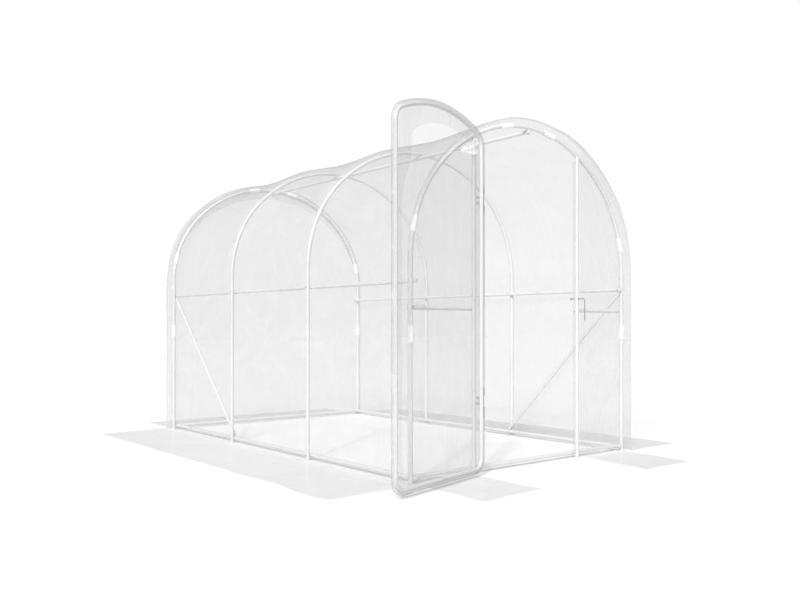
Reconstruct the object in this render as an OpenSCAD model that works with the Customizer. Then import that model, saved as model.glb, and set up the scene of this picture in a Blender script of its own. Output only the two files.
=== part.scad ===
// Walk-in polytunnel greenhouse: four tube hoops tied by purlins, rails and braces, a clear film
// cover with ground skirts, and a film-covered door leaf hung on the left door post.
// X runs across the tunnel, Y along it with the door end at -Y, and the ground is z = 0.

/* [Tunnel] */
// Length between the two end hoops, tube centres
tunnel_l = 3000; // [2100:50:4500]
// Width between a hoop's legs, tube centres
hoop_w = 1860; // [1500:10:2400]
// Height of a hoop's crown, tube centre
crown_h = 2040; // [1800:10:2600]
// Height of a hoop's straight legs, where the arch springs
leg_h = 1200; // [900:10:1400]
// Sweep in degrees of each shoulder arc, before the crown arc takes over
shoulder_sweep = 46; // [35:1:60]
// Diameter of the hoop, purlin and rail tube
tube_d = 25; // [19:1:32]
// Diameter of the brace tube
brace_d = 20; // [12:1:25]

/* [Heights] */
// Height of the two side purlins, tube centre
purlin_h = 1085; // [700:5:1180]
// Height of the rails beside the door, tube centre
front_rail_h = 942; // [500:5:1050]
// Height of the ground rails, tube centre
ground_rail_h = 32; // [20:1:60]

/* [Doorway] */
// Distance between the two door posts, tube centres
post_gap = 920; // [820:5:1100]
// Gap between a door post and the edge of the leaf's film, at each side
leaf_gap = 10.5; // [6:0.5:30]
// Diameter of the door leaf's tube
leaf_tube_d = 22; // [16:1:25]
// Drop of the leaf's top tube below the hoop it follows, centre to centre
leaf_drop = 60; // [50:1:90]
// Bend radius at the leaf's top corners
leaf_top_r = 80; // [50:1:120]
// Bend radius at the leaf's bottom corners
leaf_foot_r = 60; // [40:1:100]
// Height of the leaf's bottom tube, centre
leaf_foot_h = 46; // [42:1:80]
// Set forward of the leaf's plane from the hoop's plane
leaf_set = 25; // [20:1:30]
// Angle that the leaf stands open, from closed
door_open = 165; // [90:1:170]

/* [Hinges] */
// Height of the upper hinge, middle of its knuckle
hinge_top_h = 1553; // [1200:1:1650]
// Height of the lower hinge, middle of its knuckle
hinge_foot_h = 420; // [200:1:700]
// Place of the hinge axis beside the post's centre, towards the doorway
hinge_in = 18; // [14:1:20]
// Place of the hinge axis in front of the post's centre
hinge_out = 43; // [40:1:50]
// Diameter of the hinge knuckle
knuckle_d = 13; // [10:1:16]
// Height of one hinge knuckle stack
knuckle_h = 46; // [36:1:60]
// Diameter of the hinge pin
hinge_pin_d = 6; // [4:1:8]
// Height of the hinge strap on the leaf's stile
strap_h = 160; // [80:5:200]
// Width of the hinge strap
strap_w = 20; // [14:1:24]
// Thickness of the hinge strap
strap_t = 3; // [2:0.5:4]
// Thickness of the hinge lugs
lug_t = 5; // [3:0.5:6]

/* [Latch] */
// Height of the latch spindle
latch_h = 1015; // [900:5:1150]
// Diameter of the bent latch rod
latch_d = 6; // [6:1:10]
// Length of the hanging handle, below the spindle
latch_grip = 140; // [100:5:160]
// Bend radius of the latch rod, on its centre line
latch_bend = 14; // [10:1:20]
// Reach of the handle in front of the post's centre
latch_out = 62; // [60:1:75]
// Reach of the spindle behind the post's centre
latch_back = 45; // [30:1:60]

/* [Film] */
// Thickness of the film as a solid
film_t = 3; // [2:0.5:5]
// Slack between a tube's face and the cover
cover_slack = 25; // [15:1:35]
// Overhang of the cover past each end hoop
cover_over = 50; // [30:1:100]
// Reach of the side skirts beyond the cover
skirt_side = 530; // [300:10:700]
// Reach of the end skirts beyond the end hoops
skirt_end = 550; // [300:10:700]
// Reach of the leaf's film beyond the centre of its tube
leaf_film_over = 27; // [16:1:28]

/* [Clips] */
// Length of a film clip along its tube
clip_l = 90; // [40:5:120]
// Thickness of a film clip's wall
clip_t = 4; // [2:0.5:6]
// Height of the lower clips on the hoop's legs
clip_leg_h = 800; // [300:10:1000]
// Angle up the shoulder arc of the middle clips
clip_shoulder_a = 14; // [8:1:30]
// Angle from the crown's middle of the top clips
clip_crown_a = 11; // [6:1:30]

/* [Fits] */
// Clearance between a tube and what seats on it
seat_gap = 0.2; // [0.1:0.1:1]
// Radial clearance of a running pin
run_gap = 0.08; // [0.05:0.01:0.1]
// Gap between film and the tubes and clips it passes
film_gap = 2; // [1:0.5:4]
// Gap between the faces of two knuckles
knuckle_gap = 1; // [0.5:0.1:2]
// Extra radius of a bent length, whose open ends take the straight lengths
socket_grow = 0.1; // [0.05:0.05:0.15]
// Depth that a length plugs into the next one
socket_lap = 2; // [1:1:10]

/* [Hidden] */
bays = 3;
arc_steps = 10;
tube_r = tube_d / 2;
brace_r = brace_d / 2;
leaf_tube_r = leaf_tube_d / 2;
latch_r = latch_d / 2;
white = "WhiteSmoke";
clear = "Gainsboro";
steel = "DimGray";

// The arch is five tangent pieces: leg, shoulder arc, crown arc, shoulder arc, leg.
// The crown and shoulder radii follow from the span, the rise and the shoulder's sweep.
half_w = hoop_w / 2;
rise = crown_h - leg_h;
radius_step = (half_w - rise) / (sin(shoulder_sweep) + cos(shoulder_sweep) - 1);
crown_r = rise + radius_step * sin(shoulder_sweep);
shoulder_r = crown_r - radius_step;
shoulder_x = half_w - shoulder_r;
crown_z = crown_h - crown_r;

// Hoop planes, and the centre planes of the rails that lie against the hoops' inner faces
front_y = -tunnel_l / 2;
rear_y = tunnel_l / 2;
bay_l = tunnel_l / bays;
rail_step = tube_d + seat_gap;
side_x = half_w - rail_step;
rail_l = tunnel_l + tube_d;
cross_l = 2 * (side_x - tube_r - seat_gap);
post_x = post_gap / 2;

// Film planes: the cover stands off the tubes, and the end films lie just outside the clips
cover_in = tube_r + cover_slack;
cover_out = cover_in + film_t;
clip_r = tube_r + seat_gap + clip_t;
end_film_in = clip_r + film_gap;
end_edge = cover_in - seat_gap;
side_edge_x = half_w + cover_in;
skirt_x = half_w + cover_out + skirt_side;
skirt_y = tunnel_l / 2 + skirt_end;

// Door leaf as it hangs closed: stiles, top arc on the crown's centre, hinge axis
stile_x = post_x - tube_r - leaf_gap - leaf_film_over;
leaf_y = front_y - leaf_set;
leaf_r = crown_r - leaf_drop;
leaf_corner_x = stile_x - leaf_top_r;
leaf_corner_a = acos(leaf_corner_x / (leaf_r - leaf_top_r));
leaf_corner_z = crown_z + (leaf_r - leaf_top_r) * sin(leaf_corner_a);
leaf_film_y = leaf_y - leaf_tube_r - film_gap;
axis_x = -post_x + hinge_in;
axis_y = front_y - hinge_out;
knuckle_r = knuckle_d / 2;
eye_wall_r = (knuckle_r + hinge_pin_d / 2) / 2;
post_lug_h = (knuckle_h - knuckle_h / 3) / 2;
leaf_lug_h = knuckle_h / 3 - 2 * knuckle_gap;
hinge_heights = [hinge_foot_h, hinge_top_h];
hinge_notch = 35;

// ---- helpers ----

// Straight tube along Y, centred on the tunnel's middle
module tube_y(r, l, x, z) {
    translate([x, l / 2, z]) rotate([90, 0, 0]) cylinder(r = r, h = l, $fn = 48);
}

// Straight tube along X from x0 to x1
module tube_x(r, x0, x1, y, z) {
    translate([x0, y, z]) rotate([0, 90, 0]) cylinder(r = r, h = x1 - x0, $fn = 48);
}

// Bent tube in the XZ plane: an arc of radius bend about (x, z), from angle a0 over sweep
module tube_arc(r, bend, x, y, z, a0, sweep) {
    translate([x, y, z])
        rotate([90, 0, 0])
            rotate([0, 0, a0])
                rotate_extrude(angle = sweep, $fn = 180)
                    translate([bend, 0])
                        circle(r = r, $fn = 48);
}

// Bent tube that plugs into a wider bend at each of its ends
module plugged_arc(r, bend, x, y, z, a0, sweep) {
    lap_a = socket_lap / bend * 180 / PI;
    tube_arc(r, bend, x, y, z, a0 - lap_a, sweep + 2 * lap_a);
}

// Points of an arc about (x, z), for outlines
function arc_points(x, z, r, a0, a1) =
    [for (i = [0:arc_steps]) let (a = a0 + (a1 - a0) * i / arc_steps) [x + r * cos(a), z + r * sin(a)]];

// Outline of the arch, offset outward by off and standing on height z0
function arch_outline(off, z0) = concat(
    [[half_w + off, z0]],
    arc_points(shoulder_x, leg_h, shoulder_r + off, 0, shoulder_sweep),
    arc_points(0, crown_z, crown_r + off, shoulder_sweep, 180 - shoulder_sweep),
    arc_points(-shoulder_x, leg_h, shoulder_r + off, 180 - shoulder_sweep, 180),
    [[-half_w - off, z0]]
);

// Upright sheet in the XZ plane: its face nearest -Y at y0, thickness t towards +Y
module upright(y0, t) {
    translate([0, y0 + t, 0]) rotate([90, 0, 0]) linear_extrude(height = t) children();
}

// ---- hoops ----

module hoop(y) {
    color(white) union() {
        for (side = [-1, 1])
            translate([side * half_w, y, 0]) cylinder(r = tube_r, h = leg_h + socket_lap, $fn = 48);
        tube_arc(tube_r + socket_grow, shoulder_r, shoulder_x, y, leg_h, 0, shoulder_sweep);
        plugged_arc(tube_r, crown_r, 0, y, crown_z, shoulder_sweep, 180 - 2 * shoulder_sweep);
        tube_arc(tube_r + socket_grow, shoulder_r, -shoulder_x, y, leg_h, 180 - shoulder_sweep, shoulder_sweep);
    }
}

module front_hoop() hoop(front_y);
module second_hoop() hoop(front_y + bay_l);
module third_hoop() hoop(front_y + 2 * bay_l);
module rear_hoop() hoop(rear_y);

// ---- purlins and rails ----

module ridge_purlin() {
    color(white) tube_y(tube_r, rail_l, 0, crown_h - rail_step);
}

module side_rail(side, z) {
    color(white) tube_y(tube_r, rail_l, side * side_x, z);
}

module left_purlin() side_rail(-1, purlin_h);
module right_purlin() side_rail(1, purlin_h);
module left_ground_rail() side_rail(-1, ground_rail_h);
module right_ground_rail() side_rail(1, ground_rail_h);

module end_rail(y) {
    color(white) tube_x(tube_r, -cross_l / 2, cross_l / 2, y, ground_rail_h);
}

module front_ground_rail() end_rail(front_y + rail_step);
module rear_ground_rail() end_rail(rear_y - rail_step);

// Rail behind one hoop leg and one door post
module front_rail(side) {
    color(white)
        mirror([side < 0 ? 1 : 0, 0, 0])
            tube_x(tube_r, post_x - tube_r, half_w + tube_r, front_y + rail_step, front_rail_h);
}

module left_front_rail() front_rail(-1);
module right_front_rail() front_rail(1);

// ---- door posts ----

// Post on the ground, its top saddled under the front hoop; the right one is drilled for the latch
module door_post(side) {
    color(white) difference() {
        translate([side * post_x, front_y, 0]) cylinder(r = tube_r, h = crown_h - tube_d, $fn = 48);
        tube_arc(tube_r + seat_gap, crown_r, 0, front_y, crown_z, shoulder_sweep - 1, 182 - 2 * shoulder_sweep);
        upright(front_y - tube_d, 2 * tube_d)
            difference() {
                translate([-half_w, leg_h]) square([hoop_w, rise + tube_d]);
                polygon(arch_outline(0, leg_h - tube_d));
            }
        if (side > 0)
            translate([post_x, front_y + tube_d, latch_h])
                rotate([90, 0, 0]) cylinder(r = latch_r + run_gap, h = 2 * tube_d, $fn = 32);
    }
}

module left_door_post() door_post(-1);
module right_door_post() door_post(1);

// ---- braces ----

// Brace in the side wall, from a hoop at purlin height down to the next hoop's foot
module brace(side, y_top, y_foot) {
    z_top = purlin_h - tube_r - brace_r;
    z_foot = ground_rail_h + tube_r + brace_r;
    run = y_foot - y_top;
    drop = z_top - z_foot;
    slope = atan2(run, drop);
    color(white)
        translate([side * (half_w - tube_r - brace_r - seat_gap), y_top, z_top])
            rotate([180 + slope, 0, 0])
                cylinder(r = brace_r, h = norm([run, drop]), $fn = 48);
}

module left_brace() brace(-1, rear_y, rear_y - bay_l);
module right_brace() brace(1, front_y, front_y + bay_l);

// ---- film clips ----

// Section of a clip: a ring round the tube with a slot on its inner side
module clip_section() {
    difference() {
        circle(r = clip_r, $fn = 48);
        circle(r = tube_r + seat_gap, $fn = 48);
        translate([-tube_d, -tube_r / 2]) square([tube_d, tube_r]);
    }
}

// Clip bent along an arc of the hoop, centred on angle a
module clip_arc(bend, x, y, z, a) {
    sweep = clip_l / bend * 180 / PI;
    translate([x, y, z])
        rotate([90, 0, 0])
            rotate([0, 0, a - sweep / 2])
                rotate_extrude(angle = sweep, $fn = 180)
                    translate([bend, 0])
                        clip_section();
}

module clips(y) {
    color("White")
        for (side = [0, 1])
            mirror([side, 0, 0]) {
                translate([half_w, y, clip_leg_h - clip_l / 2]) linear_extrude(height = clip_l) clip_section();
                clip_arc(shoulder_r, shoulder_x, y, leg_h, clip_shoulder_a);
                clip_arc(crown_r, 0, y, crown_z, 90 - clip_crown_a);
            }
}

module front_clips() clips(front_y);
module rear_clips() clips(rear_y);

// ---- film ----

module roof_cover() {
    color(clear)
        upright(front_y - cover_over, tunnel_l + 2 * cover_over)
            difference() {
                polygon(arch_outline(cover_out, film_t));
                polygon(arch_outline(cover_in, film_t - 1));
            }
}

module rear_film() {
    color(clear) upright(rear_y + end_film_in, film_t) polygon(arch_outline(end_edge, film_t));
}

// Front film from the door post's outer face to the cover
module front_film(side) {
    color(clear)
        upright(front_y - end_film_in - film_t, film_t)
            intersection() {
                polygon(arch_outline(end_edge, film_t));
                mirror([side < 0 ? 1 : 0, 0])
                    translate([post_x + tube_r + film_gap, 0]) square([hoop_w, crown_h]);
            }
}

module left_front_film() front_film(-1);
module right_front_film() front_film(1);

// ---- ground skirts ----

// Skirt panel lying on the ground
module skirt(x0, x1, y0, y1) {
    color(clear) translate([x0, y0, 0]) cube([x1 - x0, y1 - y0, film_t]);
}

module left_skirt() skirt(-skirt_x, -side_edge_x, front_y - cover_over, rear_y + cover_over);
module right_skirt() skirt(side_edge_x, skirt_x, front_y - cover_over, rear_y + cover_over);
module rear_skirt() skirt(-half_w, half_w, rear_y + end_film_in, skirt_y);
module left_front_skirt() skirt(-half_w, -post_x - tube_d, -skirt_y, front_y - end_film_in);
module right_front_skirt() skirt(post_x + tube_d, half_w, -skirt_y, front_y - end_film_in);

// ---- hinges ----

// Block from x0 to x1 and y0 to y1, standing on z0
module block(x0, x1, y0, y1, z0, h) {
    translate([x0, y0, z0]) cube([x1 - x0, y1 - y0, h]);
}

// Eye round the hinge axis
module knuckle(z0, h) {
    translate([axis_x, axis_y, z0]) cylinder(r = knuckle_r, h = h, $fn = 48);
}

// Bracket on the left post: two bent lugs with eyes, and the pin that joins them
module hinge_bracket(z) {
    color(steel) difference() {
        union() {
            for (z0 = [z - knuckle_h / 2, z + knuckle_h / 2 - post_lug_h]) {
                knuckle(z0, post_lug_h);
                block(-post_x - lug_t / 2, -post_x + lug_t / 2, axis_y - lug_t / 2, front_y, z0, post_lug_h);
                block(-post_x - lug_t / 2, axis_x - eye_wall_r, axis_y - lug_t / 2, axis_y + lug_t / 2, z0, post_lug_h);
            }
            translate([axis_x, axis_y, z - knuckle_h / 2]) cylinder(r = hinge_pin_d / 2, h = knuckle_h, $fn = 32);
        }
        translate([-post_x, front_y, z - knuckle_h])
            cylinder(r = tube_r + seat_gap, h = 2 * knuckle_h, $fn = 48);
    }
}

// Turns what hangs on the door from closed to its open place
module swung() {
    translate([axis_x, axis_y, 0]) rotate([0, 0, -door_open]) translate([-axis_x, -axis_y, 0]) children();
}

// Strap against the leaf's hinge stile, and the lug whose eye turns on the pin
module hinge_strap(z) {
    z0 = z - leaf_lug_h / 2;
    strap_x = -stile_x - leaf_tube_r - seat_gap;
    color(steel) swung() difference() {
        union() {
            block(strap_x - strap_t, strap_x, leaf_y - strap_w / 2, leaf_y + strap_w / 2, z - strap_h / 2, strap_h);
            block(strap_x - strap_t, strap_x, axis_y - lug_t / 2, leaf_y, z0, leaf_lug_h);
            block(axis_x + eye_wall_r, strap_x - strap_t / 2, axis_y - lug_t / 2, axis_y + lug_t / 2, z0, leaf_lug_h);
            knuckle(z0, leaf_lug_h);
        }
        translate([axis_x, axis_y, z - leaf_lug_h])
            cylinder(r = hinge_pin_d / 2 + run_gap, h = 2 * leaf_lug_h, $fn = 32);
    }
}

module upper_hinge_bracket() hinge_bracket(hinge_top_h);
module lower_hinge_bracket() hinge_bracket(hinge_foot_h);
module upper_hinge_strap() hinge_strap(hinge_top_h);
module lower_hinge_strap() hinge_strap(hinge_foot_h);

// ---- door leaf ----

module door_frame() {
    foot_z = leaf_foot_h + leaf_foot_r;
    foot_x = stile_x - leaf_foot_r;
    bend_r = leaf_tube_r + socket_grow;
    color(white) swung() union() {
        for (side = [-1, 1])
            translate([side * stile_x, leaf_y, foot_z - socket_lap])
                cylinder(r = leaf_tube_r, h = leaf_corner_z - foot_z + 2 * socket_lap, $fn = 48);
        tube_arc(bend_r, leaf_top_r, leaf_corner_x, leaf_y, leaf_corner_z, 0, leaf_corner_a);
        plugged_arc(leaf_tube_r, leaf_r, 0, leaf_y, crown_z, leaf_corner_a, 180 - 2 * leaf_corner_a);
        tube_arc(bend_r, leaf_top_r, -leaf_corner_x, leaf_y, leaf_corner_z, 180 - leaf_corner_a, leaf_corner_a);
        tube_arc(bend_r, leaf_foot_r, -foot_x, leaf_y, foot_z, 180, 90);
        tube_x(leaf_tube_r, -foot_x - socket_lap, foot_x + socket_lap, leaf_y, leaf_foot_h);
        tube_arc(bend_r, leaf_foot_r, foot_x, leaf_y, foot_z, 270, 90);
    }
}

// Outline of the leaf's tube loop, offset outward by off
function leaf_outline(off) = concat(
    arc_points(leaf_corner_x, leaf_corner_z, leaf_top_r + off, 0, leaf_corner_a),
    arc_points(0, crown_z, leaf_r + off, leaf_corner_a, 180 - leaf_corner_a),
    arc_points(-leaf_corner_x, leaf_corner_z, leaf_top_r + off, 180 - leaf_corner_a, 180),
    arc_points(-stile_x + leaf_foot_r, leaf_foot_h + leaf_foot_r, leaf_foot_r + off, 180, 270),
    arc_points(stile_x - leaf_foot_r, leaf_foot_h + leaf_foot_r, leaf_foot_r + off, 270, 360)
);

// Film on the front of the leaf, notched round the two hinges
module door_film() {
    color(clear) swung()
        upright(leaf_film_y - film_t, film_t)
            difference() {
                polygon(leaf_outline(leaf_film_over));
                for (z = hinge_heights)
                    translate([-post_x, z - hinge_notch])
                        square([post_x - stile_x + leaf_tube_r, 2 * hinge_notch]);
            }
}

// ---- latch ----

// Washer round the spindle, against the front of the right post
module latch_collar() {
    color(steel) difference() {
        translate([post_x, front_y - tube_r / 2, latch_h])
            rotate([90, 0, 0]) cylinder(r = latch_d, h = tube_r / 2 + latch_r, $fn = 48);
        translate([post_x, front_y, latch_h - tube_d]) cylinder(r = tube_r + seat_gap, h = 2 * tube_d, $fn = 48);
        translate([post_x, front_y, latch_h])
            rotate([90, 0, 0]) cylinder(r = latch_r + run_gap, h = tube_d * 2, $fn = 32);
    }
}

// Rod through the post: spindle, bend and a handle that hangs down in front
module latch_handle() {
    color(steel) union() {
        translate([post_x, front_y + latch_back, latch_h])
            rotate([90, 0, 0]) cylinder(r = latch_r, h = latch_back + latch_out - latch_bend, $fn = 32);
        translate([post_x, front_y + latch_back + latch_r, latch_h])
            rotate([90, 0, 0]) cylinder(r = latch_d, h = latch_r, $fn = 48);
        translate([post_x, front_y - latch_out + latch_bend, latch_h - latch_bend])
            rotate([90, 0, -90])
                rotate_extrude(angle = 90, $fn = 96)
                    translate([latch_bend, 0])
                        circle(r = latch_r, $fn = 32);
        translate([post_x, front_y - latch_out, latch_h - latch_grip])
            cylinder(r = latch_r, h = latch_grip - latch_bend, $fn = 32);
    }
}

front_hoop();
second_hoop();
third_hoop();
rear_hoop();
ridge_purlin();
left_purlin();
right_purlin();
left_ground_rail();
right_ground_rail();
front_ground_rail();
rear_ground_rail();
left_door_post();
right_door_post();
left_front_rail();
right_front_rail();
left_brace();
right_brace();
front_clips();
rear_clips();
roof_cover();
rear_film();
left_front_film();
right_front_film();
left_skirt();
right_skirt();
rear_skirt();
left_front_skirt();
right_front_skirt();
upper_hinge_bracket();
lower_hinge_bracket();
latch_collar();
door_frame();
door_film();
upper_hinge_strap();
lower_hinge_strap();
latch_handle();
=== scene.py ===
"""Walk-in polytunnel greenhouse: white tube arches under a loose clear film, with a film-covered
door leaf standing open on the left post and film skirts lying on the ground round it.
Metres. X runs across the tunnel, Y along it with the door end at -Y, and the ground is z = 0.
"""

import math

import bmesh
import bpy
import numpy as np
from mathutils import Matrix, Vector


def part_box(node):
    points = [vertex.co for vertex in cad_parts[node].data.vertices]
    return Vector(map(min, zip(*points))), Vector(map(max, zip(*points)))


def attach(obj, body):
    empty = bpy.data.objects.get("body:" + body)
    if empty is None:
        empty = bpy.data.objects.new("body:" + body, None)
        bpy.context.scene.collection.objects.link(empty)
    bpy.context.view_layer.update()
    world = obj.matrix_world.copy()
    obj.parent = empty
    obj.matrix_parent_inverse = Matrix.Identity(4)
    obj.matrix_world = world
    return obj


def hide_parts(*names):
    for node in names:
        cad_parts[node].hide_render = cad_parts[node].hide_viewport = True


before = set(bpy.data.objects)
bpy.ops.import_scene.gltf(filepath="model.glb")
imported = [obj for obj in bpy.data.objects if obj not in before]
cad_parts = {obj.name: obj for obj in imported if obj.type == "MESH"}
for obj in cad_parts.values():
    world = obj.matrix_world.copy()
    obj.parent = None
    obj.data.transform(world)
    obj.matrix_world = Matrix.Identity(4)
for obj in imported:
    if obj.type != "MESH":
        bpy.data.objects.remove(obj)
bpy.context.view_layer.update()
scene = bpy.context.scene
scene.view_settings.view_transform = "Standard"
scene.cycles.transparent_max_bounces = 40
scene.cycles.max_bounces = 16

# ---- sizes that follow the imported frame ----

TUBE_R = 0.0125
HALF_W = float(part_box("front_hoop")[1][0]) - TUBE_R
CROWN_H = float(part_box("front_hoop")[1][2]) - TUBE_R
FRONT_Y = float(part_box("front_hoop")[0][1]) + TUBE_R
REAR_Y = float(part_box("rear_hoop")[1][1]) - TUBE_R
LEG_H = 1.2
SWEEP = math.radians(46)
RISE = CROWN_H - LEG_H
STEP = (HALF_W - RISE) / (math.sin(SWEEP) + math.cos(SWEEP) - 1)
CROWN_R = RISE + STEP * math.sin(SWEEP)
SHOULDER_R = CROWN_R - STEP
SHOULDER_X = HALF_W - SHOULDER_R
CROWN_Z = CROWN_H - CROWN_R
BAY = (REAR_Y - FRONT_Y) / 3
POST_X = 0.46
RAIL_STEP = 0.0252
SIDE_X = HALF_W - RAIL_STEP
PURLIN_H = 1.085
FRONT_RAIL_H = 0.942
GROUND_RAIL_H = 0.032
COVER_OFF = 0.0385
COVER_END = 0.05
END_FILM_Y = 0.0202
END_EDGE = 0.034
END_FOLD = 0.0035
POST_FILM_R = 0.0146

LEAF_Y = FRONT_Y - 0.025
STILE_X = 0.41
LEAF_TUBE_R = 0.011
LEAF_R = CROWN_R - 0.06
LEAF_TOP_R = 0.08
LEAF_FOOT_R = 0.06
LEAF_FOOT_H = 0.046
AXIS = (-0.442, -1.543)
DOOR_OPEN = math.radians(165)
HINGE_HEIGHTS = (0.42, 1.553)
LATCH_H = 1.015


# ---- shader recipes ----

class Socket:
    """An output of a shader node. Arithmetic on it adds Math nodes."""

    def __init__(self, finish, source):
        self.finish, self.source = finish, source

    def maths(self, operation, *terms):
        return self.finish.add("Math", {"operation": operation}, dict(enumerate(terms)))

    def __add__(self, other):
        return self.maths("ADD", self, other)

    def __sub__(self, other):
        return self.maths("SUBTRACT", self, other)

    def __rsub__(self, other):
        return self.maths("SUBTRACT", other, self)

    def __mul__(self, other):
        return self.maths("MULTIPLY", self, other)

    def __pow__(self, other):
        return self.maths("POWER", self, other)

    def __abs__(self):
        return self.maths("ABSOLUTE", self)

    def at_least(self, low):
        return self.maths("MAXIMUM", self, low)

    def at_most(self, high):
        return self.maths("MINIMUM", self, high)

    __radd__, __rmul__ = __add__, __mul__


class Finish:
    """A material, or the world, and the nodes added to it."""

    def __init__(self, owner):
        owner.use_nodes = True
        self.owner, self.tree = owner, owner.node_tree
        self.tree.nodes.clear()

    def add(self, kind, settings=(), sockets=(), out=0):
        """Adds a node: its settings first, then values or links for its sockets."""
        node = self.tree.nodes.new("ShaderNode" + kind)
        for key, value in dict(settings).items():
            setattr(node, key, value)
        for key, value in dict(sockets).items():
            if isinstance(value, Socket):
                self.tree.links.new(value.source, node.inputs[key])
            else:
                node.inputs[key].default_value = value
        return Socket(self, node.outputs[out])

    def place(self, scale=(1, 1, 1), turn=(0, 0, 0), uv=False):
        """Object coordinates, or the sheet's own cut in metres, stretched by scale."""
        source = self.add("TexCoord", out="UV" if uv else "Object")
        return self.add("Mapping", {}, {"Vector": source, "Scale": scale, "Rotation": turn})

    def noise(self, place, scale, detail=2, rough=0.5, twist=0):
        return self.add("TexNoise", {}, {"Vector": place, "Scale": scale, "Detail": detail,
                                         "Roughness": rough, "Distortion": twist})

    def ridge(self, place, scale, power, detail=2, twist=0):
        """Thin raised lines where a noise crosses its middle: 1 less twice its distance from
        there, to a power."""
        level = self.noise(place, scale, detail, 0.5, twist)
        return (1 - abs(level * 2 - 1)).at_least(0) ** power

    def bump(self, height, strength, distance):
        return self.add("Bump", {}, {"Height": height, "Strength": strength, "Distance": distance})

    def shades(self, factor, low, high):
        return self.add("Mix", {"data_type": "RGBA"},
                        {0: factor, 6: (*low, 1), 7: (*high, 1)}, out=2)

    def surface(self, shader):
        out = self.tree.nodes.new("ShaderNodeOutputMaterial")
        self.tree.links.new(shader.source, out.inputs["Surface"])
        return self.owner

    def principled(self, **sockets):
        named = {key.replace("_", " ").title().replace("Ior", "IOR"): value
                 for key, value in sockets.items()}
        return self.add("BsdfPrincipled", {}, named)


def powder_coat():
    """White powder coat: orange-peel bump, faint handling marks, and duller dust low down."""
    f = Finish(bpy.data.materials.new("white_powder_coat"))
    at = f.place()
    peel = f.noise(at, 900, 2)
    mottle = f.noise(at, 9, 4, 0.6)
    scuff = f.ridge(f.place((40, 40, 3)), 1.0, 14, 3, 0.4)
    low = (1 - f.add("SeparateXYZ", {}, {0: at}, out=2) * 4).at_least(0)
    dust = (low * mottle * 0.5 + scuff * 0.12).at_most(1)
    normal = f.bump(peel + mottle * 0.4, 0.08, 0.0004)
    return f.surface(f.principled(
        base_color=f.shades(dust, (0.70, 0.705, 0.71), (0.54, 0.53, 0.51)),
        roughness=0.27 + mottle * 0.12 + dust * 0.25,
        coat_weight=0.25, coat_roughness=0.12, specular_ior_level=0.55, normal=normal))


def clip_plastic():
    """Bright moulded plastic: a faint flow pattern in its gloss and fine grain."""
    f = Finish(bpy.data.materials.new("white_clip_plastic"))
    at = f.place()
    flow = f.noise(f.place((14, 14, 60)), 1.0, 3, 0.5, 0.8)
    grain = f.noise(at, 1400, 1)
    return f.surface(f.principled(
        base_color=f.shades(flow, (0.95, 0.95, 0.95), (0.91, 0.912, 0.915)),
        roughness=0.24 + flow * 0.14, specular_ior_level=0.5,
        normal=f.bump(grain, 0.05, 0.0003)))


def steel(name, shade, rough, metal=0.85):
    """Plated steel: brushed along its length, with darker handling marks."""
    f = Finish(bpy.data.materials.new(name))
    brush = f.noise(f.place((420, 420, 18)), 1.0, 3, 0.6)
    mark = f.noise(f.place(), 34, 4, 0.65)
    dull = (mark * 1.6 - 0.5).at_least(0).at_most(1)
    return f.surface(f.principled(
        base_color=f.shades(dull, [c * 0.72 for c in shade], shade),
        metallic=metal, roughness=rough + brush * 0.14 + dull * 0.06,
        normal=f.bump(brush, 0.12, 0.0003)))


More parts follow.
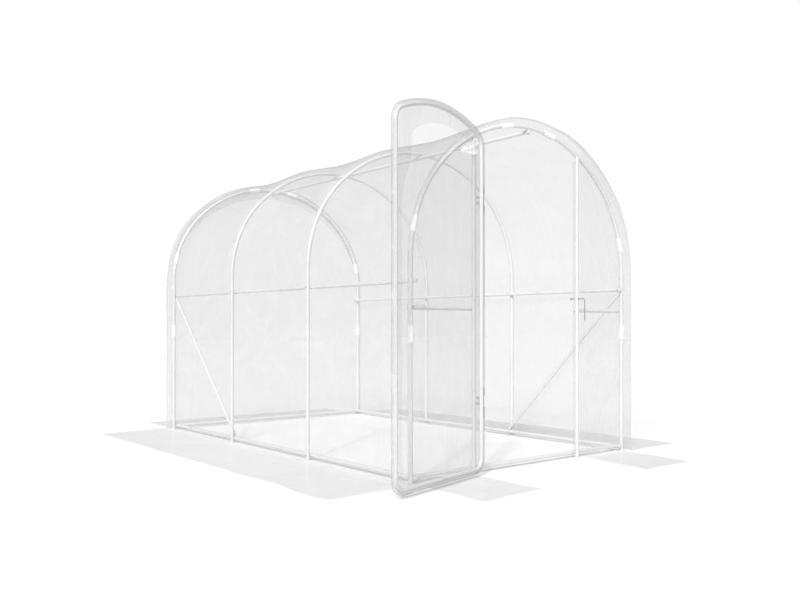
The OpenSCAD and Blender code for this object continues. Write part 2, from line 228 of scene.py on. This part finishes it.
def clear_film(name, haze, shade=0.42, swell=(2.2, 0.9), crease=0.03, mottle=0.18, streaks=0.0,
               lean=0.0, patches=0.0, rim=0.0, relief=0.2, gloss=0.6):
    """Clear film: a thin haze that thickens in folds and at a glancing view, under a mirror gloss.

    haze is the share of light it stops face on, swell the soft folds to a metre along the cut's two
    directions, crease and streaks the weight of thin whitened creases and of long streaks that lean
    by an angle from the cut's second direction, the streaks being thicker haze painted lighter as
    painted highlights, mottle the share by which the haze drifts, patches the weight of hazy blooms
    that are painted lighter as painted reflections, rim the extra haze of a doubled strip 21 mm
    wide along the cut's first edge, relief the depth of the folds, shade the grey of the haze, and
    gloss the weight of the mirror. Where the haze drifts thick its grey is painted lighter too, as
    a painted reflection.
    """
    f = Finish(bpy.data.materials.new(name))
    at = f.place((*swell, 1), uv=True)
    soft = f.noise(at, 1.0, 3, 0.5, 0.5)
    drift = f.noise(at, 2.3, 3, 0.6, 0.2)
    line = f.ridge(at, 1.7, 26, 2, 0.7)
    runs = f.ridge(f.place((38, 0.8, 1), (0, 0, lean), True), 1.0, 12, 2, 0.2)
    fine = f.noise(at, 9.0, 2, 0.5, 0.6)
    # Blooms of thicker haze, which are also painted lighter below as painted reflections
    cloud_and_sheen = ((f.noise(at, 1.4, 4, 0.62, 0.9) - 0.5) * 5).at_least(0).at_most(1)
    first = f.add("SeparateXYZ", {}, {0: f.place(uv=True)}, out=0)
    strip = ((0.021 - abs(first)) * 400).at_least(0).at_most(1)
    normal = f.bump(soft * 2 + drift * 0.5 + fine * 0.06 + runs * (0.10 * streaks), relief, 0.02)
    facing = f.add("LayerWeight", {}, {"Blend": 0.5, "Normal": normal}, out="Facing")
    stop = (haze + line * crease + runs * (0.2 * streaks) + (drift - 0.5) * (2 * mottle * haze)
            + cloud_and_sheen * patches + strip * rim + facing ** 3 * 0.10).at_most(0.95).at_least(0.01)
    # Painted light: the haze's grey is lifted along the streaks as painted highlights, and where
    # the haze drifts thick and in the blooms as painted reflections; along the creases the lift is
    # the film's own whitening
    lift = (line * 0.7 + runs * (0.6 * streaks) + drift * 0.25 + cloud_and_sheen * (4 * patches)).at_most(1)
    body = f.principled(base_color=f.shades(lift, (shade,) * 3, (shade * 1.5,) * 3),
                        roughness=0.45 + drift * 0.2, specular_ior_level=0.3, normal=normal)
    film = f.add("MixShader", {}, {0: stop, 1: f.add("BsdfTransparent"), 2: body})
    mirror = f.add("BsdfAnisotropic", {}, {"Color": (1, 1, 1, 1), "Roughness": 0.13,
                                           "Normal": normal})
    sheen = (facing ** 5 * 0.35 + 0.04) * gloss
    return f.surface(f.add("MixShader", {}, {0: sheen, 1: film, 2: mirror}))


COAT = powder_coat()
PLASTIC = clip_plastic()
DARK_STEEL = steel("dark_latch_steel", (0.38, 0.38, 0.385), 0.34, 0.5)
HINGE_STEEL = steel("grey_hinge_steel", (0.57, 0.57, 0.58), 0.38, 0.35)
ZINC = steel("zinc_bolt_steel", (0.62, 0.63, 0.64), 0.26)
# Streaks and patches in these films paint highlights and reflections into the haze's grey
COVER_FILM = clear_film("cover_film", 0.19, swell=(1.6, 2.4), streaks=0.15, lean=0.3, mottle=0.25,
                        patches=0.03)
EDGE_FILM = clear_film("cover_edge_film", 0.14, swell=(5.0, 1.5), streaks=0.5, mottle=0.1)
END_FILM = clear_film("end_film", 0.18, swell=(4.0, 1.0), streaks=0.06)
# Painted reflection: blotches of lighter grey in the right front panel's film, from its patches
MOTTLED_PAINTED_SHEEN_FILM = clear_film("mottled_painted_sheen_end_film", 0.13, swell=(6.0, 4.0), patches=0.12)
LEAF_FILM = clear_film("leaf_film", 0.078, swell=(5.0, 1.1), streaks=0.1, patches=0.08)
HEM_FILM = clear_film("folded_hem_film", 0.15, swell=(6.0, 2.0), streaks=0.15, rim=0.26,
                      relief=0.12)
SKIRT_FILM = clear_film("skirt_film", 0.125, swell=(2.0, 2.0), streaks=0.12, patches=0.02,
                        gloss=0.3)
# Nearly opaque and nearly white: the haze of gathered layers, and a painted glint on the fold
GLINT_GATHERED_FILM = clear_film("gathered_painted_glint_film", 0.85, shade=0.92, swell=(16.0, 5.0), mottle=0.1)


# ---- lines and surfaces ----

def bend_line(bends, before=(), after=()):
    """Centre line of bent tube: arcs (x, z, radius, from, to) joined by straight runs.

    Arcs are sampled every half degree with their own outward angle, ends are added as they stand,
    and the result gives x, z and outward angle at any length along the line by interpolation.
    """
    xs, zs, angles = [], [], []
    for x, z, radius, start, stop in bends:
        a = np.linspace(start, stop, max(2, int(abs(stop - start) / math.radians(0.5)) + 2))
        xs.append(x + radius * np.cos(a))
        zs.append(z + radius * np.sin(a))
        angles.append(a)
    x, z, angle = (np.concatenate(part) for part in (xs, zs, angles))
    if len(before):
        x, z, angle = np.r_[before[0], x], np.r_[before[1], z], np.r_[angle[0], angle]
    if len(after):
        x, z, angle = np.r_[x, after[0]], np.r_[z, after[1]], np.r_[angle, angle[-1]]
    length = np.r_[0, np.cumsum(np.hypot(np.diff(x), np.diff(z)))]

    def along(s):
        return (np.interp(s, length, part) for part in (x, z, angle))

    return along, float(length[-1])


FOOT_Z = 0.004
ARCH, ARCH_L = bend_line(
    [(SHOULDER_X, LEG_H, SHOULDER_R, 0, SWEEP),
     (0, CROWN_Z, CROWN_R, SWEEP, math.pi - SWEEP),
     (-SHOULDER_X, LEG_H, SHOULDER_R, math.pi - SWEEP, math.pi)],
    (HALF_W, FOOT_Z), (-HALF_W, FOOT_Z))


def leaf_line(hinge_side, free_side, top_r, corner_r, foot_r, foot_h):
    """Closed loop of the door leaf's shape: a top arc on the crown's centre, a corner arc at each
    end that meets it and the stile without a kink, and two round feet."""
    corner = {}
    for side, reach in (("free", free_side - corner_r), ("hinge", hinge_side - corner_r)):
        a = math.acos(reach / (top_r - corner_r))
        corner[side] = reach, CROWN_Z + (top_r - corner_r) * math.sin(a), a
    (fx, fz, fa), (hx, hz, ha) = corner["free"], corner["hinge"]
    foot_z = foot_h + foot_r
    return bend_line([(fx, fz, corner_r, 0, fa), (0, CROWN_Z, top_r, fa, math.pi - ha),
                      (-hx, hz, corner_r, math.pi - ha, math.pi),
                      (foot_r - hinge_side, foot_z, foot_r, math.pi, 1.5 * math.pi),
                      (free_side - foot_r, foot_z, foot_r, 1.5 * math.pi, 2 * math.pi)],
                     (), (free_side, fz))


LEAF_LOOP, LEAF_L = leaf_line(STILE_X, STILE_X, LEAF_R, LEAF_TOP_R, LEAF_FOOT_R, LEAF_FOOT_H)


def ripples(u, v, seed, sizes, count=8):
    """Soft folds: seeded sine waves in every heading, wavelengths within sizes, that sum to
    about 1."""
    rng = np.random.default_rng(seed)
    heading, phase = rng.uniform(0, math.pi, count), rng.uniform(0, 2 * math.pi, count)
    turns = 2 * math.pi / rng.uniform(*sizes, count)
    return sum(np.sin((u * math.cos(h) + v * math.sin(h)) * k + p)
               for h, k, p in zip(heading, turns, phase)) / math.sqrt(count)


def folds(u, v, seed, sizes, heading, spread=0.25, count=6):
    """Long folds with sharp backs: a mean less the size of seeded sines that run near one
    heading."""
    rng = np.random.default_rng(seed)
    heading = heading + rng.uniform(-spread, spread, count)
    phase, turns = rng.uniform(0, 2 * math.pi, count), math.pi / rng.uniform(*sizes, count)
    return sum(0.64 - np.abs(np.sin((v * math.cos(h) - u * math.sin(h)) * k + p))
               for h, k, p in zip(heading, turns, phase)) / math.sqrt(count)


def smooth(x, low, high):
    """0 below low, 1 above high, and an S curve between."""
    t = np.clip((x - low) / (high - low), 0, 1)
    return t * t * (3 - 2 * t)


def swing(points):
    """Turns points about the hinge axis from where the leaf is closed to where it stands."""
    x, y = points[..., 0] - AXIS[0], points[..., 1] - AXIS[1]
    c, s = math.cos(-DOOR_OPEN), math.sin(-DOOR_OPEN)
    return np.stack([AXIS[0] + x * c - y * s, AXIS[1] + x * s + y * c, points[..., 2]], -1)


def piece(name, points, body, finish, cut=None, loop=(False, False), keep=None, weld=False,
          node=None, slot=None, flip=False):
    """A mesh over a grid of points, one quad to each cell, wrapped where loop says so.

    points is (rows, columns, 3) or a list of such grids, cut the matching (rows, columns, 2) cut
    coordinates in metres, and keep a mask of cells. weld joins points that meet, at poles and
    seams, and flip turns the faces over. The piece rides on body, or is stage without one.
    """
    grids = points if isinstance(points, list) else [points]
    spots, quads, start = [], [], 0
    for grid in grids:
        rows, columns = grid.shape[:2]
        number = np.arange(rows * columns).reshape(rows, columns)
        if loop[0]:
            number = np.vstack([number, number[:1]])
        if loop[1]:
            number = np.hstack([number, number[:, :1]])
        cells = np.stack([number[:-1, :-1], number[1:, :-1], number[1:, 1:], number[:-1, 1:]], -1)
        cells = cells[keep] if keep is not None else cells.reshape(-1, 4)
        quads.append(start + cells.reshape(-1, 4))
        spots.append(grid.reshape(-1, 3))
        start += rows * columns
    spots, quads = np.concatenate(spots), np.concatenate(quads)
    if flip:
        quads = quads[:, ::-1]
    mesh = bpy.data.meshes.new(name)
    mesh.vertices.add(len(spots))
    mesh.vertices.foreach_set("co", spots.ravel())
    mesh.loops.add(quads.size)
    mesh.loops.foreach_set("vertex_index", np.ascontiguousarray(quads).ravel())
    mesh.polygons.add(len(quads))
    mesh.polygons.foreach_set("loop_start", np.arange(0, quads.size, 4))
    mesh.polygons.foreach_set("use_smooth", np.ones(len(quads), bool))
    if cut is not None:
        flat = np.asarray(cut, float).reshape(-1, 2)[quads.ravel()]
        mesh.uv_layers.new(name="cut").data.foreach_set("uv", flat.ravel())
    mesh.update()
    mesh.validate()
    work = bmesh.new()
    work.from_mesh(mesh)
    if weld:
        bmesh.ops.remove_doubles(work, verts=work.verts, dist=2e-6)
    bmesh.ops.delete(work, geom=[v for v in work.verts if not v.link_faces], context="VERTS")
    work.to_mesh(mesh)
    work.free()
    ob = bpy.data.objects.new(name, mesh)
    scene.collection.objects.link(ob)
    mesh.materials.append(finish)
    ob.visible_shadow = slot != "clear_film" or "skirt" in name
    if body:
        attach(ob, body)
    if node:
        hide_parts(node)
    return ob


def grid(rows, columns):
    """Two arrays over a grid, each from 0 to 1: down the rows and along the columns."""
    return np.meshgrid(np.linspace(0, 1, rows), np.linspace(0, 1, columns), indexing="ij")


# ---- camera, light and floor ----

camera = bpy.data.objects.new("camera", bpy.data.cameras.new("camera"))
camera.data.lens, camera.data.sensor_width, camera.data.shift_y = 36.73, 36.0, 0.0296
camera.location = (-3.7237, -4.8221, 0.8476)
camera.rotation_euler = (math.radians(90.10), 0, math.radians(-39.32))
scene.collection.objects.link(camera)
scene.camera = camera

world = bpy.data.worlds.new("studio")
scene.world = world
sky = Finish(world)
backdrop = sky.add("Background", {}, {"Color": (1, 1, 1, 1), "Strength": 1.0})
glow = sky.add("Background", {}, {"Color": (0.99, 0.995, 1, 1), "Strength": 0.32})
seen = sky.add("LightPath", out="Is Camera Ray")
mixed = sky.add("MixShader", {}, {0: seen, 1: glow, 2: backdrop})
sky.tree.links.new(mixed.source, sky.tree.nodes.new("ShaderNodeOutputWorld").inputs["Surface"])


def lamp(name, power, heading, height, spread):
    """A soft sun: its light runs towards +Y turned by heading about Z, and falls from height,
    both in degrees."""
    light = bpy.data.objects.new(name, bpy.data.lights.new(name, "SUN"))
    light.data.energy, light.data.angle = power, math.radians(spread)
    light.rotation_euler = (math.radians(90 - height), 0, math.radians(heading))
    scene.collection.objects.link(light)


lamp("key_light", power=2.7, heading=-52, height=33, spread=32)
lamp("glint_light", power=0.8, heading=-56, height=36, spread=3)
lamp("top_light", power=0.7, heading=-20, height=78, spread=50)


def floor_finish():
    """Matt white studio floor with a trace of mottle."""
    f = Finish(bpy.data.materials.new("studio_floor"))
    mottle = f.noise(f.place(), 1.5, 2)
    return f.surface(f.principled(base_color=f.shades(mottle, (0.865,) * 3, (0.88,) * 3),
                                  roughness=0.9, specular_ior_level=0.0))


across, along = grid(9, 9)
piece("studio_floor", np.stack([across * 80 - 40, along * 80 - 40, 0 * across], -1), None,
      floor_finish())


# ---- cover ----

COVER_ROWS = 420
WALL_SAG, CROWN_SAG = 0.008, 0.016


def cover_points(s, y, lift=0.0):
    """The cover over the arch: out from the tube centres by the slack, less a sag that is deepest
    halfway between two hoops and over the crown, plus soft folds, and a ruffle at the free ends."""
    x, z, a = ARCH(s)
    q = np.clip((y - FRONT_Y) / BAY, 0, 3) % 1
    high = smooth(np.minimum(s, ARCH_L - s), 0.9, 2.0)
    low = smooth(np.minimum(s, ARCH_L - s), 0.0, 0.15)
    sag = (4 * q * (1 - q)) ** 1.2 * (WALL_SAG + CROWN_SAG * high) * low
    free = smooth(np.abs(y), 1.500, 1.55)
    off = (COVER_OFF - sag + 0.0022 * low * ripples(s, y, 11, (0.25, 0.8))
           + 0.0016 * low * (1 - high) * folds(s, y, 12, (0.10, 0.26), 1.1)
           + 0.0014 * low * free * ripples(s, y * 0.4, 13, (0.16, 0.5)) + lift)
    return np.stack([x + off * np.cos(a), y, z + off * np.sin(a)], -1)


u, v = grid(COVER_ROWS, 205)
s, y = u * ARCH_L, FRONT_Y - COVER_END + v * (REAR_Y - FRONT_Y + 2 * COVER_END)
cover = piece("cover_sheet", cover_points(s, y), "frame", COVER_FILM, np.stack([y, s], -1),
              node="roof_cover", slot="clear_film")

# Across a hem: flat on the cover, round the free edge in a bead, and a little way back beneath it
HEM_FACE, HEM_BEAD, HEM_BACK = 0.034, 0.003, 0.008
round_edge = np.linspace(0.3, 2.8, 7)
across = np.r_[np.linspace(HEM_FACE, 0, 8), HEM_BEAD * np.sin(round_edge) * -1,
               np.linspace(0, HEM_BACK, 3)]
lifts = np.r_[np.full(8, 0.0016), HEM_BEAD * np.cos(round_edge) - 0.0014, np.full(3, -0.0044)]
for name, end in (("cover_front_hem", -1), ("cover_rear_hem", 1)):
    s, inward = np.meshgrid(np.linspace(0, ARCH_L, COVER_ROWS), across, indexing="ij")
    y = end * (REAR_Y + COVER_END - inward)
    piece(name, cover_points(s, y, lifts), "frame", EDGE_FILM,
                      np.stack([y, s], -1), slot="clear_film", flip=end > 0)


# ---- end films ----

def half_arch(off, count=600):
    """Outline of the right half of the arch, moved outward by off: x and z from foot to crown."""
    x, z, a = ARCH(np.linspace(0, ARCH_L / 2, count))
    return x + off * np.cos(a), z + off * np.sin(a)


def end_folds(x, z, seed, depth):
    """How far an end film stands proud of its plane: soft swells and a few sharper creases."""
    return depth * (0.9 + 0.5 * ripples(x, z, seed, (0.25, 0.8))
                    + 0.35 * folds(x, z, seed + 1, (0.08, 0.22), 1.3, 0.5)).clip(0, 2)


def fan(loop, middle, rows):
    """Grid that fills a closed outline: each outline point drawn in towards the middle, in rows
    a little closer at the rim. The rim's own weight is 1 at the outline and soon falls to 0."""
    steps = np.linspace(0, 1, rows)[:, None]
    inner = steps[..., None] ** 0.8 * (loop[None] - np.array(middle))
    return np.array(middle) + inner, steps ** 4.8


x, z = half_arch(END_EDGE)
side = np.stack([np.r_[x, -x[::-1][1:]], np.r_[z, z[::-1][1:]]], -1)[::3]
foot = np.linspace(-x[0], x[0], 90)[1:-1]
base = np.stack([foot, np.full_like(foot, FOOT_Z)], -1)
spread, rim = fan(np.concatenate([side, base]), (0, 0.85), 90)
x, z = spread[..., 0], spread[..., 1]
y = REAR_Y + END_FILM_Y + end_folds(x, z, 21, END_FOLD) * (1 - rim)
rear = piece("rear_end_sheet", np.stack([x, y, z], -1), "frame", END_FILM,
             np.stack([x, z], -1), loop=(False, True), weld=True, node="rear_film",
             slot="clear_film", flip=True)

# The cover's edge brought down over the rear film: a crescent, deepest under the crown
BAND_W = END_EDGE + 0.075
u, v = grid(260, 12)
s0, s1 = 1.30, ARCH_L - 1.30
s = s0 + u * (s1 - s0)
x, z, a = ARCH(s)
off = END_EDGE - v * BAND_W * np.sin(np.pi * u) ** 0.55
x, z = x + off * np.cos(a), z + off * np.sin(a)
y = REAR_Y + END_FILM_Y + 0.0042 + 0.0035 * v * (1 + ripples(x, z, 23, (0.08, 0.25)))
band = piece("rear_overlap_band", np.stack([x, y, z], -1), "frame", HEM_FILM,
             np.stack([off, s], -1), slot="clear_film")

# Half the height of the gaps that a post's film leaves for the latch's collar and a hinge
COLLAR_GAP, HINGE_GAP = 0.013, 0.028
for label, side in (("left", -1), ("right", 1)):
    u, v = grid(260, 70)
    edge_x, edge_z = half_arch(END_EDGE)
    inner_x = POST_X + 0.0145
    top = float(np.interp(-inner_x, -edge_x, edge_z))
    z = FOOT_Z + (top - FOOT_Z) * (1 - (1 - u) ** 1.7)
    x = inner_x + v * (np.interp(z, edge_z, edge_x) - inner_x).clip(0)
    rim = np.maximum(v, u) ** 5
    proud = end_folds(side * x, z, 31 + side, END_FOLD) * (1 - rim) * smooth(v, 0, 0.1)
    y = FRONT_Y - END_FILM_Y - proud
    # The right panel takes the film with the painted reflection blotches
    panel = piece(f"{label}_front_sheet", np.stack([side * x, y, z], -1), "frame",
                  MOTTLED_PAINTED_SHEEN_FILM if side > 0 else END_FILM, np.stack([x, z], -1), weld=True,
                  node=f"{label}_front_film", slot="clear_film", flip=side > 0)

    # The panel's edge goes round the front of the post and hangs as a free flap in the doorway
    u, v = grid(240, 26)
    z = FOOT_Z + 0.002 + u * 1.885
    turn = -math.pi / 2 - smooth(v, 0.1, 0.5) * math.radians(86)
    flap = smooth(v, 0.42, 1.0) * (0.036 + 0.003 * ripples(z, 0 * z, 37 + side, (0.15, 0.5)))
    lead = (0.1 - v).clip(0) / 0.1
    x = POST_X + POST_FILM_R * np.cos(turn) + 0.016 * lead - flap
    y = (FRONT_Y + POST_FILM_R * np.sin(turn) - 0.0056 * lead
         + 0.0022 * smooth(v, 0.5, 1) * ripples(z, x, 39 + side, (0.06, 0.3)))
    middle = (z[:-1, :-1] + z[1:, 1:]) / 2, (v[:-1, :-1] + v[1:, 1:]) / 2
    if side > 0:
        keep = (np.abs(middle[0] - LATCH_H) > COLLAR_GAP) | (middle[1] > 0.45)
    else:
        away = [np.abs(middle[0] - h) > HINGE_GAP for h in HINGE_HEIGHTS]
        keep = np.all(away, 0) | (middle[1] > 0.5)
    wrap = piece(f"{label}_post_wrap", np.stack([side * x, y, z], -1), "frame", HEM_FILM,
                 np.stack([x, z], -1), keep=keep, slot="clear_film", flip=side < 0)


# The left panel's top corner, gathered between the hoop and the post: a fan of pleats that deepen
# away from the post, its lower edge bowed down, standing proud of the panel, and finished near
# white as a painted glint
u, v = grid(90, 40)
x = -0.452 - 0.150 * u
s = ARCH_L / 2 + (CROWN_R * np.arcsin(-x / CROWN_R))
ax, az, aa = ARCH(s)
drop = 0.018 + v * (0.014 + 0.064 * np.sin(math.pi * u ** 0.8))
pleat = np.sin((v * 2.2 + 0.4 * u) * 2 * math.pi) * 0.0020 * smooth(u, 0, 0.3)
x, z = ax - drop * np.cos(aa), az - drop * np.sin(aa)
y = FRONT_Y - END_FILM_Y - 0.008 - 0.004 * np.sin(math.pi * v) - pleat
gather = piece("post_top_gather", np.stack([x, y, z], -1), "frame", GLINT_GATHERED_FILM,
               np.stack([x, z], -1), slot="clear_film")


# ---- door leaf ----

NOTCH_X, NOTCH_H = -0.398, 0.030


def leaf_cells(x, z):
    """Mask of the cells that stay: all but the two notches for the hinges at the hinge stile."""
    mx, mz = (x[:-1, :-1] + x[1:, 1:]) / 2, (z[:-1, :-1] + z[1:, 1:]) / 2
    near = np.any([np.abs(mz - h) < NOTCH_H for h in HINGE_HEIGHTS], 0)
    return ~(near & (mx < NOTCH_X))


# The hem: film bagged round the outside of the leaf's tube, then flat on its inner face, in to a
# free edge that keeps to a smaller outline
t = np.linspace(0, 1, 700, endpoint=False)
x, z, a = LEAF_LOOP(t * LEAF_L)
inner_line, inner_l = leaf_line(hinge_side=0.285, free_side=0.372, top_r=LEAF_R - 0.092,
                                corner_r=0.075, foot_r=0.05, foot_h=0.085)
ix, iz, _ = inner_line(t * inner_l)
ix = np.where(ix > 0, ix * (1 - 0.22 * smooth(iz, 1.45, 1.72)), ix)
bag = 0.0008 * ripples(t * LEAF_L, 0 * t, 41, (0.2, 0.7))
HEM_R, HEM_OUT = 0.0132, 0.014
phi = np.linspace(-math.pi / 2, math.pi / 2, 13)[:, None]
reach = HEM_OUT + (0.0125 + bag) * np.cos(phi)
rim = np.stack([x + reach * np.cos(a), LEAF_Y + HEM_R * np.sin(phi) + 0 * x,
                z + reach * np.sin(a)], -1)
w = np.linspace(0, 1, 24)[1:, None]
ox, oz = x + HEM_OUT * np.cos(a), z + HEM_OUT * np.sin(a)
fx, fz = ox + w * (ix - ox), oz + w * (iz - oz)
fy = LEAF_Y + HEM_R + 0 * fx - 0.0008 * w + 0.0011 * w * ripples(fx, fz, 43, (0.05, 0.25))
hem_points = np.concatenate([rim, np.stack([fx, fy, fz], -1)]).transpose(1, 0, 2)
wide = np.concatenate([HEM_R * phi[:, 0], HEM_R * math.pi / 2 + w[:, 0] * 0.11])
cut = np.stack(np.broadcast_arrays(wide[None, :], (t * LEAF_L)[:, None]), -1)
hx = np.vstack([hem_points[..., 0], hem_points[:1, :, 0]])
hz = np.vstack([hem_points[..., 2], hem_points[:1, :, 2]])
hem = piece("leaf_folded_hem", swing(hem_points), "door", HEM_FILM, cut, loop=(True, False),
            keep=leaf_cells(hx, hz), slot="clear_film", flip=True)

LEAF_EDGE = 0.0145
outline = np.stack([x + LEAF_EDGE * np.cos(a), z + LEAF_EDGE * np.sin(a)], -1)
spread, rim = fan(outline, (0, 1.0), 100)
x, z = spread[..., 0], spread[..., 1]
y = LEAF_Y - LEAF_TUBE_R - 0.0030 - end_folds(x, z, 51, 0.004) * (1 - rim)
kx, kz = np.hstack([x, x[:, :1]]), np.hstack([z, z[:, :1]])
leaf = piece("leaf_sheet", swing(np.stack([x, y, z], -1)), "door", LEAF_FILM,
             np.stack([x, z], -1), loop=(False, True), keep=leaf_cells(kx, kz), weld=True,
             node="door_film", slot="clear_film")


# ---- ground skirts ----

def skirt(name, corner, out, along, seed, slant=0.0):
    """Film lying on the ground from a line at a wall: out and along are its vectors on the ground.

    Each free edge wanders by seeded waves, the corners are rounded off, the sheet ripples a few
    millimetres off the ground, and its wall edge turns up in a small curve. slant shifts the
    outer edge along the wall, as a share of the length.
    """
    out, along, corner = np.array(out, float), np.array(along, float), np.array(corner, float)
    width, length = np.linalg.norm(out), np.linalg.norm(along)
    rows = max(60, int(length / 0.02))
    u, v = grid(rows, 60)
    end = np.minimum(u, 1 - u) * length
    edge = (1 + 0.020 * ripples(u * length, 0 * u, seed, (0.35, 1.1)) / (0.53 / width)
            - 0.018 * np.exp(-end / 0.018))
    wander = 0.010 * ripples(v * width, 0 * v, seed + 1, (0.25, 0.7)) * np.sign(u - 0.5)
    ends = smooth(np.abs(u - 0.5), 0.3, 0.5)
    d, r = v * edge, (u * length + wander * ends) / length
    p = (corner + d[..., None] * out + (r + slant * d)[..., None] * along)
    px, py = p[..., 0], p[..., 1]
    swells = 1 + 0.7 * ripples(px, py, seed + 2, (0.25, 0.9))
    z = 0.0022 + 0.0030 * swells * smooth(d * width, 0.01, 0.1)
    z = z.clip(0.0012) + 0.012 * np.exp(-d * width / 0.007)
    sheet = piece(f"{name}_sheet", np.stack([px, py, z], -1), "frame", SKIRT_FILM,
                  np.stack([px, py], -1), node=name, slot="clear_film",
                  flip=float(out[0] * along[1] - out[1] * along[0]) > 0)


# An end skirt starts a little beyond the end film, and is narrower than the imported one's reach
# from the hoop's plane
SKIRT_SET, SKIRT_LESS = 0.009, 0.035
CAD_SKIRTS = ("left_skirt", "right_skirt", "rear_skirt", "left_front_skirt", "right_front_skirt")
low, high = {n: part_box(n)[0] for n in CAD_SKIRTS}, {n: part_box(n)[1] for n in CAD_SKIRTS}
for n, seed in (("left_skirt", 61), ("right_skirt", 64)):
    sign = -1 if n.startswith("left") else 1
    wall = sign * (HALF_W + COVER_OFF + 0.0015)
    skirt(n, (wall, low[n][1]), (sign * (high[n][0] - low[n][0] - 0.006), 0),
          (0, high[n][1] - low[n][1]), seed)
skirt("rear_skirt", (low["rear_skirt"][0], REAR_Y + END_FILM_Y + SKIRT_SET),
      (0, high["rear_skirt"][1] - REAR_Y - SKIRT_LESS), (high["rear_skirt"][0] * 2, 0), 67)
for n, seed, slant in (("left_front_skirt", 70, -0.03), ("right_front_skirt", 73, -0.15)):
    skirt(n, (low[n][0], FRONT_Y - END_FILM_Y - SKIRT_SET),
          (0, low[n][1] - FRONT_Y + SKIRT_LESS), (high[n][0] - low[n][0], 0), seed, slant)


# ---- bolts, nuts, caps and screws ----

BOLT = ((0, 0.0040), (0.0020, 0.0038), (0.0038, 0.0030), (0.0048, 0.0018), (0.0051, 0.0006),
        (0.0051, -0.0030))
NUT = ((0, 0.0058), (0.0018, 0.0055), (0.0032, 0.0044), (0.0042, 0.0030), (0.0046, 0.0010),
       (0.0058, 0.0008), (0.0060, 0.0002), (0.0060, -0.0030))
CAP = ((0, 0.0024), (0.0060, 0.0021), (0.0100, 0.0013), (0.0121, 0.0003), (0.0123, -0.0010))
SCREW = ((0, 0.0006), (0.0008, 0.0006), (0.0010, 0.0021), (0.0026, 0.0019), (0.0038, 0.0010),
         (0.0042, 0.0002), (0.0042, -0.0006))


def turned(profile, spots, steps=20):
    """One turned body at each spot (centre, direction): the (radius, height) profile spun round."""
    bodies = []
    for centre, direction in spots:
        d = np.array(direction, float)
        a = np.cross(d, (0, 0, 1) if abs(d[2]) < 0.9 else (1, 0, 0))
        a /= np.linalg.norm(a)
        b, turn = np.cross(d, a), np.linspace(0, 2 * math.pi, steps, endpoint=False)
        r, h = np.array(profile).T
        bodies.append(np.array(centre) + h[:, None, None] * d + r[:, None, None]
                      * (np.cos(turn)[:, None] * a + np.sin(turn)[:, None] * b))
    return bodies


HOOPS = [FRONT_Y + BAY * i for i in range(4)]
bolts, nuts, caps = [], [], []
for y in HOOPS:
    bolts.append(((0, y, CROWN_H + TUBE_R), (0, 0, 1)))
    nuts.append(((0, y, CROWN_H - RAIL_STEP - TUBE_R), (0, 0, -1)))
    for sx in (-1, 1):
        for z in (PURLIN_H, GROUND_RAIL_H):
            bolts.append(((sx * (HALF_W + TUBE_R), y, z), (sx, 0, 0)))
            nuts.append(((sx * (SIDE_X - TUBE_R), y, z), (-sx, 0, 0)))
for sx in (-1, 1):
    for x, z in ((HALF_W, FRONT_RAIL_H), (POST_X, FRONT_RAIL_H), (POST_X, GROUND_RAIL_H)):
        nuts.append(((sx * x, FRONT_Y + RAIL_STEP + TUBE_R, z), (0, 1, 0)))
    bolts.append(((sx * HALF_W, FRONT_Y - TUBE_R, FRONT_RAIL_H), (0, -1, 0)))
for sy in (-1, 1):
    y = sy * (REAR_Y + TUBE_R)
    caps.append(((0, y, CROWN_H - RAIL_STEP), (0, sy, 0)))
    caps += [((sx * SIDE_X, y, z), (0, sy, 0)) for sx in (-1, 1) for z in (PURLIN_H, GROUND_RAIL_H)]
piece("frame_bolts", turned(BOLT, bolts), "frame", ZINC, loop=(False, True), weld=True,
      slot="grey_steel")
piece("frame_nuts", turned(NUT, nuts), "frame", ZINC, loop=(False, True), weld=True,
      slot="grey_steel")
piece("tube_caps", turned(CAP, caps, 28), "frame", COAT, loop=(False, True), weld=True,
      slot="white_clip")
strap_x = -STILE_X - LEAF_TUBE_R - 0.0032
screws = [((strap_x, LEAF_Y, h + dz), (-1, 0, 0))
          for h in HINGE_HEIGHTS for dz in (-0.06, -0.03, 0.03, 0.06)]
piece("hinge_screws", [swing(p) for p in turned(SCREW, screws, 16)], "door", HINGE_STEEL,
      loop=(False, True), weld=True, slot="grey_steel")

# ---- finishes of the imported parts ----

for name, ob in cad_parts.items():
    if "clips" in name:
        finish = PLASTIC
    elif "hinge" in name:
        finish = HINGE_STEEL
    elif "latch" in name:
        finish = DARK_STEEL
    else:
        finish = COAT
    ob.data.materials.clear()
    ob.data.materials.append(finish)
    ob.data.polygons.foreach_set("use_smooth", np.ones(len(ob.data.polygons), bool))
